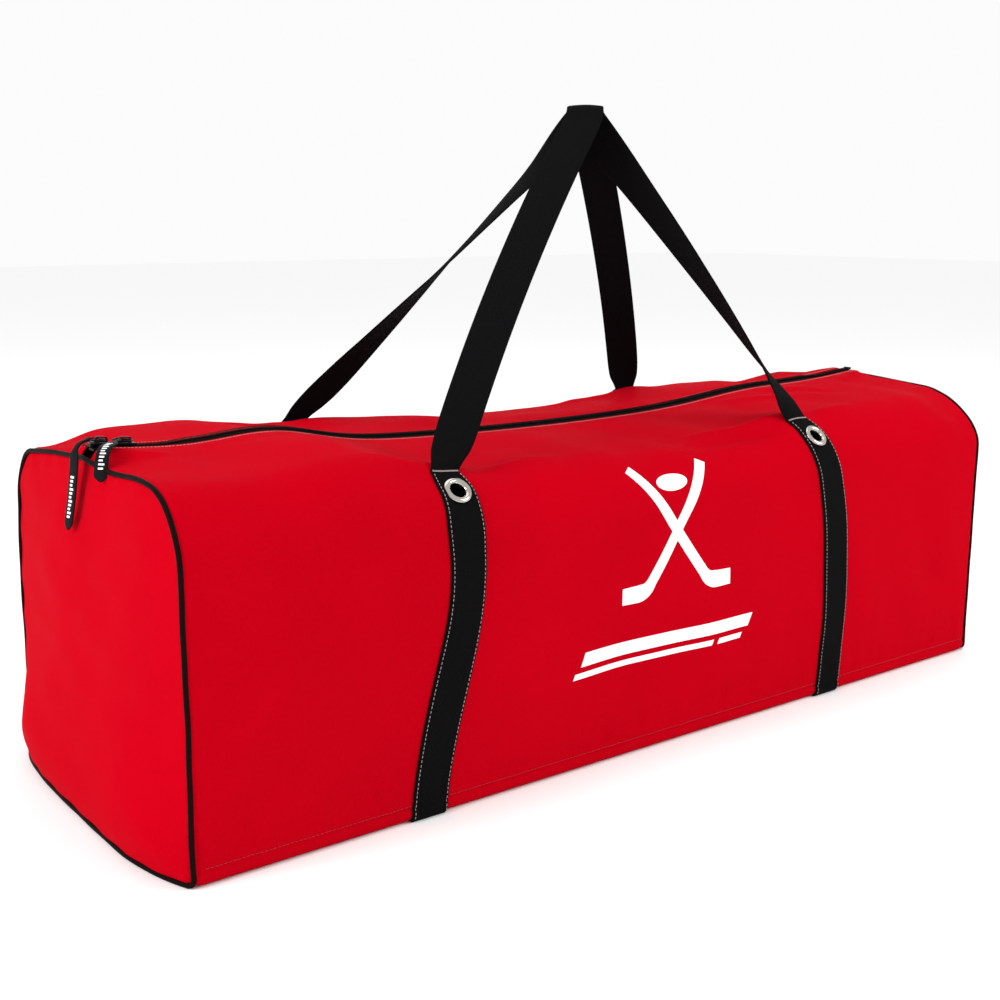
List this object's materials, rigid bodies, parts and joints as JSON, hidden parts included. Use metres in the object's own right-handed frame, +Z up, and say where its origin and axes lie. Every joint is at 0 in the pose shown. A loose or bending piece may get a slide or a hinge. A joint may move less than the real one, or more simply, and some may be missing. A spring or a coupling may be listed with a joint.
{
  "type": "hockey equipment bag",
  "caption": "Long soft equipment bag with piped ends, a two-slider top zip, sewn webbing straps with eyelets and raised carrying handles.",
  "frame": {"origin": "on the floor under the middle of the bag, the centre of its bounding box's base", "axes": "+X along the bag towards the end away from the zip sliders, the front with the slanting strap faces -Y, +Z up"},
  "size_m": [1.101, 0.426, 0.6722],
  "materials": {
    "red_cloth": "bright red coated polyester oxford, fine plain weave, soft satin sheen",
    "webbing": "black flat woven webbing, matt, sewn with light grey thread",
    "zip_tape": "black woven zip tape",
    "binding_tape": "black ribbed binding tape",
    "zip_coil": "black nylon coil",
    "piping": "thin black covered piping cord",
    "black_metal": "black painted die-cast metal",
    "pull_tab": "black moulded flexible pull tab",
    "nickel": "bright nickel plate"
  },
  "bodies": {
    "root": {"bottom_panel": "red_cloth", "front_panel": "red_cloth", "rear_panel": "red_cloth", "left_end_panel": "red_cloth", "right_end_panel": "red_cloth", "left_piping": "piping", "right_piping": "piping", "seam_binding_left": "binding_tape", "seam_binding_right": "binding_tape", "seam_binding_front": "binding_tape", "seam_binding_rear": "binding_tape", "zip_stop_left": "black_metal", "zip_stop_right": "black_metal", "zip_tape_front_left": "zip_tape", "zip_coil_front_left": "zip_coil", "strap_front_left": "webbing", "eyelet_front_left": "nickel", "eyelet_washer_front_left": "nickel", "zip_tape_front_right": "zip_tape", "zip_coil_front_right": "zip_coil", "strap_front_right": "webbing", "eyelet_front_right": "nickel", "eyelet_washer_front_right": "nickel", "zip_tape_rear_left": "zip_tape", "zip_coil_rear_left": "zip_coil", "strap_rear_left": "webbing", "eyelet_rear_left": "nickel", "eyelet_washer_rear_left": "nickel", "zip_tape_rear_right": "zip_tape", "zip_coil_rear_right": "zip_coil", "strap_rear_right": "webbing", "eyelet_rear_right": "nickel", "eyelet_washer_rear_right": "nickel"},
    "front_flap": {"front_flap": "red_cloth", "zip_tape_front_middle": "zip_tape", "zip_coil_front_middle": "zip_coil"},
    "rear_flap": {"rear_flap": "red_cloth", "zip_tape_rear_middle": "zip_tape", "zip_coil_rear_middle": "zip_coil"},
    "front_handle": {"front_handle": "webbing"},
    "rear_handle": {"rear_handle": "webbing"},
    "slider_a": {"slider_a_body": "black_metal"},
    "pull_a": {"slider_a_pull": "black_metal", "slider_a_tab": "pull_tab"},
    "slider_b": {"slider_b_body": "black_metal"},
    "pull_b": {"slider_b_pull": "black_metal", "slider_b_tab": "pull_tab"}
  },
  "joints": [
    {"name": "front_flap_hinge", "type": "hinge", "parent": "root", "child": "front_flap", "pos_m": [0, -0.146, 0.334], "axis": [1, 0, 0], "range_deg": [0, 60]},
    {"name": "rear_flap_hinge", "type": "hinge", "parent": "root", "child": "rear_flap", "pos_m": [0, 0.146, 0.334], "axis": [-1, 0, 0], "range_deg": [0, 60]},
    {"name": "front_handle_fold", "type": "hinge", "parent": "root", "child": "front_handle", "pos_m": [0, -0.15569, 0.34417], "axis": [1, 0, 0], "range_deg": [0, 155]},
    {"name": "rear_handle_fold", "type": "hinge", "parent": "root", "child": "rear_handle", "pos_m": [0, 0.15569, 0.34417], "axis": [-1, 0, 0], "range_deg": [0, 155]},
    {"name": "slider_a_travel", "type": "hinge", "parent": "root", "child": "slider_a", "pos_m": [0, 0, 5.4065], "axis": [0, -1, 0], "range_deg": [0, 11.3]},
    {"name": "pull_a_swing", "type": "hinge", "parent": "slider_a", "child": "pull_a", "pos_m": [-0.4933, 0, 0.3507], "axis": [-0.7411, 0.6675, 0.0723], "range_deg": [0, 165]},
    {"name": "slider_b_travel", "type": "slide", "parent": "root", "child": "slider_b", "axis": [0.9948, 0, -0.1015], "range_m": [0, 0.003]},
    {"name": "pull_b_swing", "type": "hinge", "parent": "slider_b", "child": "pull_b", "pos_m": [-0.51577, 0, 0.35295], "axis": [-0.1976, 0.9801, 0.0202], "range_deg": [0, 150]}
  ]
}
